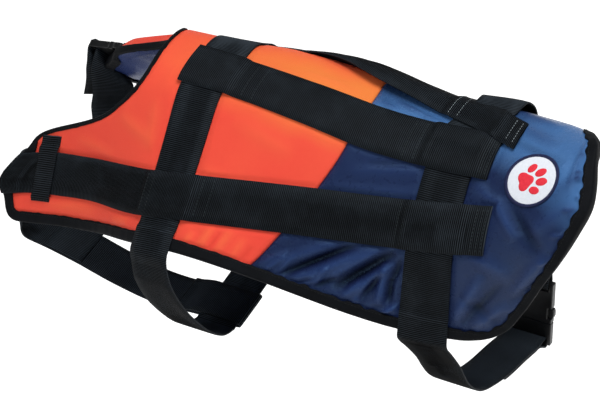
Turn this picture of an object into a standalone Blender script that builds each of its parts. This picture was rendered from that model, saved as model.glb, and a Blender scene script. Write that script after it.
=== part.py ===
"""Dog life jacket: a foam saddle with wings at the chest, webbing handles, girth straps and buckles.

X runs along the back towards the tail, Z is up, and the dog's left side is -Y. Lengths are in mm.
"along" is the distance along the back and "across" the distance over the cloth from the ridge.
"""
import math

import bpy
import numpy as np

MM = 0.001
WALL = 8.0              # foam panel with its covers
LINING = 1.0
SEAM = 0.3              # gap between pieces at a seam
CLEAR = 0.9             # gap under a layer that lies on another
WEB = 1.8               # webbing thickness
WIDE_WEB = 50.0         # handles, side, girth, chest and breast straps
KEEPER_WEB = 25.0
FRONT_GIRTH = -148.0    # along
REAR_GIRTH = 147.5
FLANK_AT, FLANK_OVER = 118.0, 95.0     # flank bend, across

# along, height
RIDGE = np.array([(-408, -2), (-268, 19), (-148, 11), (0, 8), (132, 5), (332, 32)], float)

# along, shoulder bend and flank bend in degrees, where the shoulder bends and over how much, across
LEFT_SIDE = np.array([
    (-408, 67, -11, 32, 76),
    (-268, 60, 0, 32, 76),
    (-148, 40, -4, 32, 76),
    (0, 40, 8, 32, 76),
    (132, 40, 27, 32, 76),
    (332, 45, 47, 32, 76)], float)
RIGHT_SIDE = np.array([
    (-408, 67, -11, 32, 76),
    (-268, 62, -2, 32, 72),
    (-148, 64, -28, 45, 56),
    (-60, 68, -26, 55, 56),
    (10, 66, -18, 50, 56),
    (70, 62, -8, 42, 56),
    (132, 60, 5, 42, 56),
    (180, 59, 13, 43, 56),
    (215, 60, 18, 37, 56),
    (270, 66, 22, 27, 60),
    (332, 69, 24, 18, 64)], float)

# along, across from ridge to hem
HEM = np.array([(-420, 236), (-344, 236), (-270, 232), (-224, 222), (-174, 214), (-126, 210),
                (-66, 210), (20, 216), (72, 221), (124, 226), (192, 230), (310, 230)], float)

# share of the way from ridge to hem, along at the front edge
FRONT_EDGE = np.array([(0, -215), (0.10, -215), (0.162, -216), (0.206, -219), (0.271, -227), (0.36, -245),
                       (0.416, -260), (0.464, -283), (0.50, -309), (0.535, -338), (0.565, -356), (0.62, -366),
                       (0.723, -390), (0.80, -403), (0.84, -403), (0.882, -397), (0.941, -393), (0.983, -388),
                       (1.0, -380)], float)

# share, along at the colour seam
COLOUR_SEAM = np.array([(0, 36), (0.12, 35), (0.24, 32), (0.49, 14), (0.74, -12), (0.95, -36), (1.0, -43)], float)

# share, along at the tail edge
TAIL_EDGE = np.array([(0, 285), (0.1, 290), (0.21, 296), (0.29, 298), (0.38, 293), (0.47, 287), (0.61, 274),
                      (0.68, 265), (0.85, 243), (0.948, 225), (0.985, 208), (1.0, 190)], float)

TAPE = 1.1              # edge binding
UNDER_TAPE, OVER_TAPE = 0.8, 1.9
NECK_LEG, HEM_LEG, TAIL_LEG = 6.5, 12.0, 13.0          # how far the binding reaches over the panel
BAR = 4.4               # buckle bar, along the webbing
LOOP = 6.2              # webbing centreline round a bar
BUCKLE_LENGTH = 84.0
BUCKLE_WIDTH = 61.0
PATCH_ALONG, PATCH_ACROSS, PATCH_RADIUS = 236.0, -48.0, 27.5

# near: side and height from the hem down to the buckle's lower bar; far: from the far hem to its upper bar
GIRTH_LOOPS = {
    "front": dict(along=FRONT_GIRTH, flat=-290.0, bar=(117, -268), up=(0.46, 0.89), tail=70.0,
                  near=[(-188, -122), (-189, -142), (-184, -168), (-176, -194), (-161, -228), (-144, -259),
                        (-125, -281), (-108, -289.7), (-104, -290), (-75, -290), (-46, -290), (-42, -290),
                        (8, -288), (58, -282), (96, -272)],
                  far=[(171, -122), (174, -140), (169, -160), (161, -178)]),
    "rear": dict(along=REAR_GIRTH, bar=(84, -386), up=(0.24, 0.97), tail=118.0,
                 near=[(-142, -170), (-131, -192), (-117, -223), (-104, -260), (-81, -295), (-50, -319),
                       (-11, -341), (27, -357), (62, -373)],
                 far=[(131, -181), (128, -212), (120, -252), (110, -286)])}

SHARES = [0, 0.045, 0.09, 0.135, 0.18, 0.225, 0.27, 0.33, 0.4, 0.47, 0.53, 0.58, 0.65, 0.73, 0.82, 0.9, 0.96, 1]
FRONT_ROWS = 14
REAR_ROWS = 10

FINISHES = {   # name: colour, roughness
    "orange_nylon": ((0.85, 0.09, 0.045, 1), 0.45),
    "navy_nylon": ((0.016, 0.03, 0.11, 1), 0.35),
    "navy_lining": ((0.012, 0.022, 0.07, 1), 0.25),
    "black_binding": ((0.008, 0.009, 0.011, 1), 0.6),
    "black_webbing": ((0.01, 0.014, 0.017, 1), 0.65),
    "black_buckle": ((0.01, 0.01, 0.011, 1), 0.35),
    "patch_white": ((0.75, 0.76, 0.8, 1), 0.6)}


def follow(table, column, at):
    """Smooth curve through one column of a table, against its first column."""
    knots, values = table[:, 0], table[:, column]
    slopes = np.gradient(values, knots)
    at = np.clip(at, knots[0], knots[-1])
    slot = np.clip(np.searchsorted(knots, at) - 1, 0, len(knots) - 2)
    gap = knots[slot + 1] - knots[slot]
    part = (at - knots[slot]) / gap
    rise = part * part * (3 - 2 * part)
    lead = part * (1 - part) ** 2 * gap * slopes[slot]
    trail = part ** 2 * (part - 1) * gap * slopes[slot + 1]
    return values[slot] * (1 - rise) + values[slot + 1] * rise + lead + trail


def ease(part):
    part = np.clip(part, 0, 1)
    return part * part * (3 - 2 * part)


def skin(along, across):
    """Points on the outer face of the jacket, from its sections."""
    along, across = np.broadcast_arrays(np.asarray(along, float), np.asarray(across, float))
    reach = np.abs(across)[..., None] * np.linspace(0, 1, 65)
    right = across > 0
    shoulder, flank, bend_at, bend_over = (
        np.where(right, follow(RIGHT_SIDE, k, along), follow(LEFT_SIDE, k, along))[..., None] for k in range(1, 5))
    angle = np.radians(shoulder) * ease((reach - bend_at) / bend_over + 0.5)
    angle = angle + np.radians(flank) * ease((reach - FLANK_AT) / FLANK_OVER + 0.5)
    middle = (angle[..., 1:] + angle[..., :-1]) / 2
    side = np.abs(across) * np.cos(middle).mean(-1)
    drop = np.abs(across) * np.sin(middle).mean(-1)
    return np.stack([along, np.sign(across) * side, follow(RIDGE, 1, along) - drop], -1)


def unit(vectors):
    return vectors / np.linalg.norm(vectors, axis=-1, keepdims=True)


def place(along, across, lift):
    """Points of the outer face moved out by lift."""
    along, across = np.broadcast_arrays(np.asarray(along, float), np.asarray(across, float))
    back = skin(along + 1, across) - skin(along - 1, across)
    over = skin(along, across + 1) - skin(along, across - 1)
    return skin(along, across) + unit(np.cross(back, over)) * np.asarray(lift)[..., None]


def hem(along):
    return follow(HEM, 1, along)


def material(name, look):
    colour, roughness = FINISHES[look]
    made = bpy.data.materials.new(name)
    made.use_nodes = True
    shader = made.node_tree.nodes["Principled BSDF"]
    shader.inputs["Base Color"].default_value = colour
    shader.inputs["Roughness"].default_value = roughness
    shader.inputs["Metallic"].default_value = 0.0
    made.diffuse_color = colour
    return made


def solid(name, points, faces, look, smooth=True):
    """One closed body, turned so that its faces look outward."""
    points = np.asarray(points, float)
    volume = 0.0
    for face in faces:
        for b, c in zip(face[1:-1], face[2:]):
            volume += np.dot(points[face[0]], np.cross(points[b], points[c]))
    if volume < 0:
        faces = [face[::-1] for face in faces]
    mesh = bpy.data.meshes.new(name)
    mesh.from_pydata([tuple(p) for p in points * MM], [], faces)
    mesh.materials.append(material(name, look))
    mesh.validate()
    piece = bpy.data.objects.new(name, mesh)
    bpy.context.scene.collection.objects.link(piece)
    for face in mesh.polygons:
        face.use_smooth = smooth
    return piece


def split(points, a, b, c, d):
    """Two triangles of a four-sided face, cut along its shorter diagonal."""
    if np.linalg.norm(points[a] - points[c]) <= np.linalg.norm(points[b] - points[d]):
        return [(a, b, c), (a, c, d)]
    return [(a, b, d), (b, c, d)]


def slab(name, top, bottom, look):
    """Closed wall between two grids of points, the first one on the outside."""
    rows, cols = top.shape[:2]
    count = rows * cols
    points = np.concatenate([top.reshape(-1, 3), bottom.reshape(-1, 3)])
    faces = []
    for i in range(rows - 1):
        for j in range(cols - 1):
            a, b = i * cols + j, i * cols + j + 1
            faces += split(points, a, a + cols, b + cols, b)
            faces += split(points, count + a, count + b, count + b + cols, count + a + cols)
    rim = list(range(cols))
    rim += [i * cols + cols - 1 for i in range(1, rows)]
    rim += [(rows - 1) * cols + j for j in range(cols - 2, -1, -1)]
    rim += [i * cols for i in range(rows - 2, 0, -1)]
    for a, b in zip(rim, rim[1:] + rim[:1]):
        faces.append((a, b, count + b, count + a))
    return solid(name, points, faces, look)


def hoop(name, rings, look):
    """Closed band through a closed run of closed sections."""
    count, size = rings.shape[:2]
    faces = []
    for i in range(count):
        for j in range(size):
            a, b = i * size + j, i * size + (j + 1) % size
            c, d = (i + 1) % count * size + (j + 1) % size, (i + 1) % count * size + j
            faces += split(rings.reshape(-1, 3), a, b, c, d)
    return solid(name, rings.reshape(-1, 3), faces, look)


def panel_grid(first, last, rows):
    """Along and across of a grid between two edges, given as along for each share."""
    shares = np.array([-s for s in SHARES[:0:-1]] + SHARES)
    start = follow(first, 1, np.abs(shares)) if isinstance(first, np.ndarray) else first
    stop = follow(last, 1, np.abs(shares)) if isinstance(last, np.ndarray) else last
    part = np.linspace(0, 1, rows)[:, None]
    along = start * (1 - part) + stop * part
    return along, shares * hem(along)


def shifted(table, by):
    moved = table.copy()
    moved[:, 1] += by
    return moved


def panels():
    front = panel_grid(FRONT_EDGE, shifted(COLOUR_SEAM, -SEAM / 2), FRONT_ROWS)
    rear = panel_grid(shifted(COLOUR_SEAM, SEAM / 2), TAIL_EDGE, REAR_ROWS)
    slab("panel_front", place(*front, 0.0), place(*front, -WALL), "orange_nylon")
    slab("panel_rear", place(*rear, 0.0), place(*rear, -WALL), "navy_nylon")
    under = -WALL - SEAM
    slab("lining_front", place(*front, under), place(*front, under - LINING), "navy_lining")
    return front, rear


def outline(front, rear):
    """The jacket's edge as along and across, once round."""
    grid = np.concatenate([np.stack(front, -1), np.stack(rear, -1)[1:]])
    near = grid[1:, -1]
    tail = grid[-1, -2::-1]
    far = grid[-2:0:-1, 0]
    return np.concatenate([grid[0], near, tail, far])


def binding(front, rear):
    """Tape folded round the whole edge: narrow at the neck, wide along hem and tail."""
    edge = outline(front, rear)
    ahead = unit(np.roll(edge, -1, 0) - edge)
    turn = unit(ahead + np.roll(ahead, 1, 0))
    outward = np.stack([-turn[:, 1], turn[:, 0]], -1)
    stretch = 1 / np.clip((ahead * turn).sum(-1), 0.8, 1)
    shares = np.abs(edge[:, 1]) / hem(edge[:, 0])
    neck = (edge[:, 0] < -200) & (shares < 0.6)
    leg = np.where(neck, NECK_LEG, np.where(edge[:, 0] > 200, TAIL_LEG, HEM_LEG))
    leg = (leg + np.roll(leg, 1) + np.roll(leg, -1)) / 3
    deep = -WALL - SEAM - LINING - 1.1
    section = [(-1, UNDER_TAPE), (-1, OVER_TAPE), (-0.5, OVER_TAPE), ("out", UNDER_TAPE + TAPE * 0.4),
               ("out", deep - TAPE * 0.4), (-0.5, deep - TAPE), (-1, deep - TAPE),
               (-1, deep), (-0.5, deep), ("in", deep), ("in", UNDER_TAPE), (-0.5, UNDER_TAPE)]
    rings = []
    for share, lift in section:
        step = leg * share if not isinstance(share, str) else None
        if share == "out":
            step = np.full(len(edge), OVER_TAPE)
        if share == "in":
            step = np.full(len(edge), UNDER_TAPE)
        spot = edge + outward * (step * stretch)[:, None]
        rings.append(place(spot[:, 0], spot[:, 1], lift))
    return hoop("edge_binding", np.stack(rings, 1), "black_binding")


def bump(along, centre, half, slope=10.0):
    """One where a layer lies beneath, falling to nothing beside it."""
    return ease((half + slope - np.abs(along - centre)) / slope)


def laid_strap(name, rows, edges, lift):
    """Strap along the jacket: edges(along) gives its two sides, across."""
    along = np.asarray(rows, float)[:, None]
    one, two = edges(along)
    part = np.linspace(0, 1, 6)
    across = one * (1 - part) + two * part
    along = along + 0 * across
    height = lift(along, across)
    return slab(name, place(along, across, height + WEB), place(along, across, height), "black_webbing")


def over_girths(along, across):
    """Lift of a long strap: on the panel, and up over both girth straps."""
    step = WEB + CLEAR
    return CLEAR + step * np.maximum(bump(along, FRONT_GIRTH, 28), bump(along, REAR_GIRTH, 28))


# along, centre of the handle, across
LEFT_HANDLE = np.array([(-185, 12), (-124, 12), (-26, 20), (50, 28), (124, 29), (200, 30)], float)
RIGHT_HANDLE = np.array([(-185, 92), (-124, 90), (-60, 80), (-15, 67), (16, 56), (50, 47), (80, 40), (124, 32),
                         (200, 28)], float)
HAND_START, HAND_END, HAND_RISE = -75.0, 124.0, 9.0         # the right handle's grip
# along, upper edge of the side strap, across
SIDE_STRAP = np.array([(-400, 156), (-368, 152), (-306, 150), (-192, 138), (-4, 108), (158, 84), (205, 79)], float)


def handles():
    rows = np.concatenate([np.linspace(-180, -110, 9), np.linspace(-96, 96, 13), np.linspace(110, 190, 10)])
    half = WIDE_WEB / 2

    def left(along):
        centre = follow(LEFT_HANDLE, 1, along)
        return -centre + half, -centre - half

    def right(along):
        centre = follow(RIGHT_HANDLE, 1, along)
        return centre + half, centre - half

    def grab(along, across):
        part = np.clip((along - HAND_START) / (HAND_END - HAND_START), 0, 1)
        return over_girths(along, across) + HAND_RISE * np.sin(np.pi * part)

    laid_strap("handle_left", rows, left, over_girths)
    laid_strap("handle_right", rows, right, grab)


def webbing_rows(path, acrosses, cols=4, half=WIDE_WEB / 2):
    """Both faces of webbing on a free path, the first face on the side of across x ahead."""
    path, acrosses = np.asarray(path, float), unit(np.asarray(acrosses, float))
    way = unit(np.diff(path, axis=0))
    ahead = np.concatenate([way[:1], way[1:] + way[:-1], way[-1:]])
    facing = unit(np.cross(acrosses, ahead))
    spread = np.linspace(-half, half, cols)[:, None]
    middle = path[:, None] + acrosses[:, None] * spread
    return middle + facing[:, None] * WEB / 2, middle - facing[:, None] * WEB / 2


def turned_end(path, acrosses, bar, out, back, radius=LOOP, hold=0.0, gap=0.9):
    """Carry webbing round a bar that its path arrives at on the side out, and back along itself."""
    path, acrosses = np.asarray(path, float), unit(np.asarray(acrosses, float))
    bar = np.asarray(bar, float)
    to_bar = unit(bar - path[-1])
    out = unit(out - to_bar * np.dot(out, to_bar))
    sine = radius / np.linalg.norm(bar - path[-1])
    cosine = math.sqrt(1 - sine * sine)
    ahead, out = to_bar * cosine + out * sine, out * cosine - to_bar * sine
    last = acrosses[-1:]
    main = np.concatenate([path, [bar + out * radius]])
    acrosses = np.concatenate([acrosses, last])
    turns = np.radians([30, 60, 90, 120, 150, 180])[:, None]
    turn = bar + radius * (out * np.cos(turns) + ahead * np.sin(turns))
    sense = np.sign(np.dot(np.cross(last[0], ahead), out))
    gone = np.linalg.norm(np.diff(main, axis=0), axis=1)[::-1]
    gone = np.concatenate([[0], np.cumsum(gone)])
    rows, sides = [], []
    for step in np.linspace(2, back, max(4, round(back / 9))):
        spot, side = (np.array([np.interp(step, gone, data[::-1, k]) for k in range(3)])
                      for data in (main, acrosses))
        before = np.array([np.interp(step + 5, gone, main[::-1, k]) for k in range(3)])
        after = np.array([np.interp(max(step - 5, 0), gone, main[::-1, k]) for k in range(3)])
        apart = 2 * radius + (WEB + gap - 2 * radius) * ease((step - hold) / 22)
        rows.append(spot - sense * unit(np.cross(side, unit(after - before))) * apart)
        sides.append(side)
    return (np.concatenate([main, turn, rows]),
            np.concatenate([acrosses, np.repeat(last, len(turn), 0), sides]))


def smooth_path(table, steps):
    """Evenly refined curve through the rows of a table."""
    table = np.asarray(table, float)
    ends = np.concatenate([[2 * table[0] - table[1]], table, [2 * table[-1] - table[-2]]])
    rows = []
    for a, b, c, d in zip(ends, ends[1:], ends[2:], ends[3:]):
        for t in np.linspace(0, 1, steps, endpoint=False):
            rows.append(b + 0.5 * ((c - a) * t + (2 * a - 5 * b + 4 * c - d) * t ** 2
                                   + (3 * b - a - 3 * c + d) * t ** 3))
    return np.array(rows + [table[-1]])


def over_binding(along, edge):
    """Extra lift beside the wing's front edge, to clear its binding."""
    return OVER_TAPE * ease((30 - (along - edge)) / 8)


def side_strap_run(side, laid):
    """Both faces of a side strap on the panel; its front rows follow the wing's edge."""
    part = np.linspace(0, 1, 6)
    top, low = [], []
    for along in laid:
        across = follow(SIDE_STRAP, 1, np.array([along]))[0] + WIDE_WEB * part
        edge = follow(FRONT_EDGE, 1, across / hem(np.full(6, along)))
        nearness = ((-206 - along) / (-206 - laid[0])) if along < -206 else 0
        spot = along + (edge - laid[0]) * nearness * (side < 0)
        girth = np.maximum(bump(spot, FRONT_GIRTH, 28), bump(spot, REAR_GIRTH, 28)) * (WEB + CLEAR)
        lift = CLEAR + np.maximum(girth, over_binding(spot, edge))
        top.append(place(spot, side * across, lift + WEB))
        low.append(place(spot, side * across, lift))
    return np.stack(top), np.stack(low)


def wrapped_end(side, start):
    """The strap's end turned round the wing's edge onto the lining."""
    across = follow(SIDE_STRAP, 1, np.array([start]))[0] + WIDE_WEB * np.linspace(0, 1, 6)
    edge = follow(FRONT_EDGE, 1, across / hem(np.full(6, start)))
    middle = -(WALL + SEAM + LINING) / 2 - 0.6
    reach = CLEAR + 1.9 - middle
    top, low = [], []
    for step, turn in ((24, -90), (12, -90), (1, -90), (0, -55), (0, -20), (0, 20), (0, 55)):
        out, rise = math.cos(math.radians(turn)), math.sin(math.radians(turn))
        for rows, more in ((top, WEB), (low, 0.0)):
            away = step - (5.0 + more) * out
            rows.append(place(edge + away, side * across, middle + (reach + more) * rise))
    return np.stack(top), np.stack(low)


def side_straps():
    """From the wing tip to just past the rear girth strap."""
    crossing = [np.linspace(-186, -110, 9), np.linspace(-85, 85, 6), np.linspace(110, 204, 10)]
    wrap = wrapped_end(-1, -400)
    laid = side_strap_run(-1, np.concatenate([np.linspace(-403, -206, 10), *crossing]))
    slab("side_strap_left", np.concatenate([wrap[0], laid[0]]), np.concatenate([wrap[1], laid[1]]),
         "black_webbing")

    bar, wide, along, out = chest_buckle_frame()
    laid = side_strap_run(1, np.concatenate([np.linspace(-313, -206, 6), *crossing]))
    start = (laid[0][3::-1] + laid[1][3::-1]) / 2
    bar = bar + along * (BUCKLE_LENGTH - BAR)
    near_bar = bar - out * LOOP + along * 6
    path, sides = turned_end([*start.mean(1), near_bar], [*(start[:, -1] - start[:, 0]), wide], bar, -out, 30)
    top, low = webbing_rows(path[4:], sides[4:], 6)
    slab("side_strap_right", np.concatenate([top[::-1], laid[0]]), np.concatenate([low[::-1], laid[1]]),
         "black_webbing")


def keepers():
    """Narrow webbing over each side strap near the wing tip."""
    part = np.linspace(0, 1, 14)[:, None]
    width = np.linspace(-0.5, 0.5, 4) * KEEPER_WEB
    for side, name, centre in ((-1, "keeper_left", -335), (1, "keeper_right", -267)):
        across = 140.5 + part * (214 - 140.5) + 0 * width
        along = centre - 11 * part + width
        upper = follow(SIDE_STRAP, 1, along)
        over = ease((across - upper + 10) / 7) * ease((upper + WIDE_WEB + 10 - across) / 7)
        edge = follow(FRONT_EDGE, 1, across / hem(along))
        lift = CLEAR + (WEB + CLEAR) * over + over_binding(along, edge)
        slab(name, place(along, side * across, lift + 1.4), place(along, side * across, lift), "black_webbing")


def in_girth(loop, across, height):
    return np.array((loop["along"], across, height), float)


def girth_buckle_frame(loop):
    """Lower bar, direction across the webbing, direction up the buckle, and outward."""
    up = unit(in_girth(loop, *loop["up"]) * (0, 1, 1))
    return in_girth(loop, *loop["bar"]), np.array((1.0, 0, 0)), up, np.array((0, up[2], -up[1]))


def girth_strap(name, loop):
    """Over the back, down to the near side's hanging loop and up to the far side's buckle."""
    spread = np.linspace(-WIDE_WEB / 2, WIDE_WEB / 2, 4)
    shares = np.array([-s for s in SHARES[:0:-1]] + SHARES)[:, None]
    along = loop["along"] + spread + 0 * shares
    lift = CLEAR + 1.9 * ease((np.abs(shares) - 0.895) / 0.03) + 0 * along
    across = shares * hem(along)
    past = hem(along[:1]) + 6
    along, lift = (np.concatenate([data[:1], data, data[-1:]]) for data in (along, lift))
    across = np.concatenate([-past, across, past])
    top, low = place(along, across, lift + WEB), place(along, across, lift)

    bar, wide, up, out = girth_buckle_frame(loop)
    near = smooth_path([in_girth(loop, *row) for row in loop["near"]], 2)
    start, finish = (unit(ends[-1] - ends[0]) for ends in (top[0], top[-1]))
    sides = [start + (wide - start) * min(1.0, (i + 1) / 7) for i in range(len(near))]
    path, sides = turned_end(near, sides, bar, np.array((0, 0, 1.0)), loop["tail"])
    near_in, near_out = webbing_rows(path, sides)

    far = smooth_path([in_girth(loop, *row) for row in loop["far"]], 2)
    sides = [finish + (wide - finish) * min(1.0, (i + 1) / 5) for i in range(len(far))]
    path, sides = turned_end(far, sides, bar + up * (BUCKLE_LENGTH - BAR), out, 36)
    far_out, far_in = webbing_rows(path, sides)
    return slab(name, np.concatenate([near_out[::-1], top, far_out]),
                np.concatenate([near_in[::-1], low, far_in]), "black_webbing")


def blocks(name, wide_breaks, long_breaks, rows, half, frame):
    """Plate made of cells: each row lists which cells between the breaks are solid."""
    origin, wide, up, out = frame
    filled = {(i, j) for j, row in enumerate(rows) for i, cell in enumerate(row) if cell}
    points, index, faces = [], {}, []

    def corner(i, j, level):
        key = (i, j, level)
        if key not in index:
            index[key] = len(points)
            points.append(origin + wide * wide_breaks[i] + up * long_breaks[j] + out * level * half)
        return index[key]

    for i, j in sorted(filled):
        ring = [(i, j), (i + 1, j), (i + 1, j + 1), (i, j + 1)]
        faces.append(tuple(corner(a, b, 1) for a, b in ring))
        faces.append(tuple(corner(a, b, -1) for a, b in ring[::-1]))
        beside = [(i, j - 1), (i + 1, j), (i, j + 1), (i - 1, j)]
        for (a, b), (c, d), other in zip(ring, ring[1:] + ring[:1], beside):
            if other not in filled:
                faces.append((corner(c, d, 1), corner(a, b, 1), corner(a, b, -1), corner(c, d, -1)))
    piece = solid(name, points, faces, "black_buckle", smooth=False)
    bevel = piece.modifiers.new("edges", "BEVEL")
    bevel.width = 1.2 * MM
    bevel.segments = 1
    bevel.limit_method = "ANGLE"
    return piece


def buckle(name, frame):
    """Side-release buckle, closed: the plug with the lower bar, and the socket with the upper bar."""
    half = BUCKLE_WIDTH / 2
    wide = [-half, -half + 4.5, half - 4.5, half]
    full, middle, sides = (1, 1, 1), (0, 1, 0), (1, 0, 1)
    slot = BAR + 8.6
    low = -BAR / 2
    blocks(name + "_plug", wide, [low, low + BAR, low + slot, low + slot + 20], [full, sides, full], 4.2, frame)
    top = BUCKLE_LENGTH - BAR / 2
    blocks(name + "_socket", wide, [low + slot + 20.4, low + slot + 27, low + slot + 41, top - slot, top - BAR, top],
           [full, middle, full, sides, full], 4.6, frame)


def chest_buckle_frame():
    """Front bar of the chest buckle, which lies on the right wing: across, back along it, outward."""
    spot = place([-374, -364, -369, -369, -369], [178, 178, 173, 183, 178], [0, 0, 0, 0, 8.4])
    along, wide = unit(spot[1] - spot[0]), unit(spot[3] - spot[2])
    wide = unit(wide - along * np.dot(wide, along))
    return spot[4] - along * 48, wide, along, np.cross(along, wide)


# centre of the webbing as along, side, height; then the direction across it
BREAST_STRAP = [
    (-372, -89, -138, 0, 0.56, 0.83),
    (-388, -88.6, -140, -0.1, 0.56, 0.82),
    (-400, -89, -146, -0.3, 0.6, 0.72),
    (-407, -89, -160, -0.5, 0.68, 0.45),
    (-410, -92, -180, -0.68, 0.72, 0.15),
    (-412, -96, -203, -0.75, 0.66, 0),
    (-414, -93, -221, -0.6, 0.8, 0),
    (-410, -85, -238, -0.3, 0.95, 0),
    (-399, -78, -250, -0.05, 1, 0),
    (-380, -75, -258, 0, 1, 0),
    (-337, -75, -270, 0, 1, 0),
    (-300, -75, -283, 0, 1, 0),
    (-250, -75, -295, 0, 1, 0),
    (-212, -75, -296.5, 0, 1, 0),
    (-190, -75, -293.5, 0, 1, 0),
    (-178, -75, -292.55, 0, 1, 0)]
CHEST_STRAP = [
    (-360, -98, -260.8, 0.97, 0, -0.26),
    (-360, -75, -260.8, 0.97, 0, -0.26),
    (-360, -50, -260.8, 0.97, 0, -0.26),
    (-364, -20, -258, 0.98, 0, -0.18),
    (-372, 20, -255, 1, 0, -0.1),
    (-384, 58, -240, 1, 0, 0),
    (-395, 84, -222, 1, 0, 0),
    (-400, 94, -205, 1, 0.05, -0.05),
    (-401, 93, -188, 0.93, 0.14, -0.3),
    (-405, 93, -170, 0.66, 0.34, -0.62),
    (-409, 96, -152, 0.22, 0.5, -0.8)]


def chest_straps():
    """Breast strap from the left wing tip back to the front girth strap; chest strap from it to the buckle."""
    table = smooth_path(BREAST_STRAP, 2)
    girth = GIRTH_LOOPS["front"]["flat"]
    bar = np.array((FRONT_GIRTH + WIDE_WEB / 2 + 1.5, -75, girth))
    path, sides = turned_end(table[:, :3], table[:, 3:], bar, np.array((0, 0, -1.0)), 86, 2.55, 56)
    slab("breast_strap", *webbing_rows(path, sides), "black_webbing")

    table = smooth_path(CHEST_STRAP, 2)
    bar, wide, along, out = chest_buckle_frame()
    path = np.concatenate([table[:, :3], [bar - out * 13 + along * LOOP]])
    sides = np.concatenate([table[:, 3:], [wide]])
    path, sides = turned_end(path, sides, bar, along, 70, gap=4.0)
    slab("chest_strap", *webbing_rows(path, sides), "black_webbing")


def patch():
    """Round patch sewn on the rear panel's left side."""
    turns = np.linspace(0, 2 * np.pi, 28, endpoint=False)
    faces, layers = [], []
    for lift in (CLEAR + 1.2, CLEAR):
        rings = [place([PATCH_ALONG], [PATCH_ACROSS], lift)]
        for radius in (PATCH_RADIUS / 3, PATCH_RADIUS * 2 / 3, PATCH_RADIUS):
            rings.append(place(PATCH_ALONG + radius * np.cos(turns), PATCH_ACROSS + radius * np.sin(turns), lift))
        layers.append(np.concatenate(rings))
    count = len(layers[0])
    for i in range(28):
        j = (i + 1) % 28
        for base, flip in ((0, 1), (count, -1)):
            faces.append((base, base + 1 + i, base + 1 + j)[::flip])
            for ring in (1, 29):
                faces.append((base + ring + i, base + ring + 28 + i, base + ring + 28 + j, base + ring + j)[::flip])
        faces.append((57 + i, count + 57 + i, count + 57 + j, 57 + j))
    return solid("patch", np.concatenate(layers), faces, "patch_white")


def clear():
    for item in list(bpy.data.objects):
        bpy.data.objects.remove(item, do_unlink=True)
    for finish in list(bpy.data.materials):
        bpy.data.materials.remove(finish)


def build():
    clear()
    front, rear = panels()
    binding(front, rear)
    handles()
    side_straps()
    keepers()
    for end, loop in GIRTH_LOOPS.items():
        girth_strap("girth_strap_" + end, loop)
        buckle("girth_buckle_" + end, girth_buckle_frame(loop))
    chest_straps()
    buckle("chest_buckle", chest_buckle_frame())
    patch()


build()
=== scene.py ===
import math

import bmesh
import bpy
import numpy as np
from mathutils import Matrix, Vector


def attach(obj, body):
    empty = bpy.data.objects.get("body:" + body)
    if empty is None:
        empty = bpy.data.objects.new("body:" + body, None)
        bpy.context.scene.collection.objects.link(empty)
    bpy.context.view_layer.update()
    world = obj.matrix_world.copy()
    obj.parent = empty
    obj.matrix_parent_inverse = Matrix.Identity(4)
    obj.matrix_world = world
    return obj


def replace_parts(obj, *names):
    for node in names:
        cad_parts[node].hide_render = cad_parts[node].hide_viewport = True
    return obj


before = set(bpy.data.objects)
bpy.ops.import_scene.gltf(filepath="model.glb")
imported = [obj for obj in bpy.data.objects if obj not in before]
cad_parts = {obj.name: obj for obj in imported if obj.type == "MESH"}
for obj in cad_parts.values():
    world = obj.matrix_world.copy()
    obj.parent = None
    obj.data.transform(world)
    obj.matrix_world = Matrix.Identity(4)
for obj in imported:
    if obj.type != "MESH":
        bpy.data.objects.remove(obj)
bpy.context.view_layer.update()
scene = bpy.context.scene

# Lengths are in mm: "along" runs down the back to the tail, "across" over the cloth from the ridge.
# The dog's left is minus.
mm = 0.001
jacket = {
    "wall": 8.0, "lining": 1.0, "seam": 0.3, "clear": 0.9,  # foam panel, lining, gaps
    "web": 1.8, "wideWeb": 50.0, "keeperWeb": 25.0,  # webbing
    "frontGirth": -148.0, "rearGirth": 147.5,  # along
    "flankAt": 118.0, "flankOver": 95.0}  # flank bend, across

ridge = np.array([(-408, -2), (-268, 19), (-148, 11), (0, 8), (132, 5), (332, 32)], float)  # along, height

# along, shoulder bend and flank bend in degrees, where the shoulder bends and over how much, across
leftSide = np.array([
    (-408, 67, -11, 32, 76), (-268, 60, 0, 32, 76), (-148, 40, -4, 32, 76), (0, 40, 8, 32, 76),
    (132, 40, 27, 32, 76), (332, 45, 47, 32, 76)], float)
rightSide = np.array([
    (-408, 67, -11, 32, 76), (-268, 62, -2, 32, 72), (-148, 64, -28, 45, 56), (-60, 68, -26, 55, 56),
    (10, 66, -18, 50, 56), (70, 62, -8, 42, 56), (132, 60, 5, 42, 56), (180, 59, 13, 43, 56),
    (215, 60, 18, 37, 56), (270, 66, 22, 27, 60), (332, 69, 24, 18, 64)], float)

# along, across from ridge to hem
hemCut = np.array([
    (-420, 236), (-344, 236), (-270, 232), (-224, 222), (-174, 214), (-126, 210), (-66, 210), (20, 216),
    (72, 221), (124, 226), (192, 230), (310, 230)], float)

# share of the way from ridge to hem, along
frontEdge = np.array([
    (0, -215), (0.10, -215), (0.162, -216), (0.206, -219), (0.271, -227), (0.36, -245), (0.416, -260),
    (0.464, -283), (0.50, -309), (0.535, -338), (0.565, -356), (0.62, -366), (0.723, -390), (0.80, -403),
    (0.84, -403), (0.882, -397), (0.941, -393), (0.983, -388), (1.0, -380)], float)
colourSeam = np.array([
    (0, 36), (0.12, 35), (0.24, 32), (0.49, 14), (0.74, -12), (0.95, -36), (1.0, -43)], float)
tailEdge = np.array([
    (0, 285), (0.1, 290), (0.21, 296), (0.29, 298), (0.38, 293), (0.47, 287), (0.61, 274), (0.68, 265),
    (0.85, 243), (0.948, 225), (0.985, 208), (1.0, 190)], float)


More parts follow.
